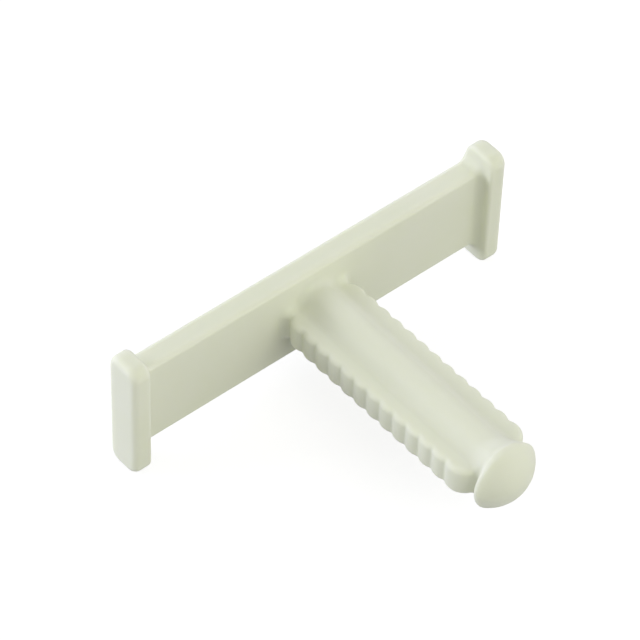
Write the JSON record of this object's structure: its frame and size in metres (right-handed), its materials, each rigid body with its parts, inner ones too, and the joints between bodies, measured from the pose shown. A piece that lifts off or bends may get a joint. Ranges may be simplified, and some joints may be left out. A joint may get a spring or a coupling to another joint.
{
  "type": "fir tree cable tie mount",
  "caption": "One-piece nylon T-shaped mount for a cable tie: a flanged crossbar that carries cables, on a toothed push-in plug with a domed nose.",
  "frame": {"origin": "on the plug's axis, at the face of the crossbar that the plug stands on", "axes": "+X along the crossbar, +Z across the crossbar's width, and the plug points along -Y, so +Y points away from the wall"},
  "size_m": [0.045, 0.031, 0.014],
  "materials": {
    "natural_nylon": "natural nylon 6.6, milky off-white with a faint green-yellow cast, soft satin"
  },
  "bodies": {
    "root": {"fir_tree_mount": "natural_nylon"}
  },
  "joints": []
}
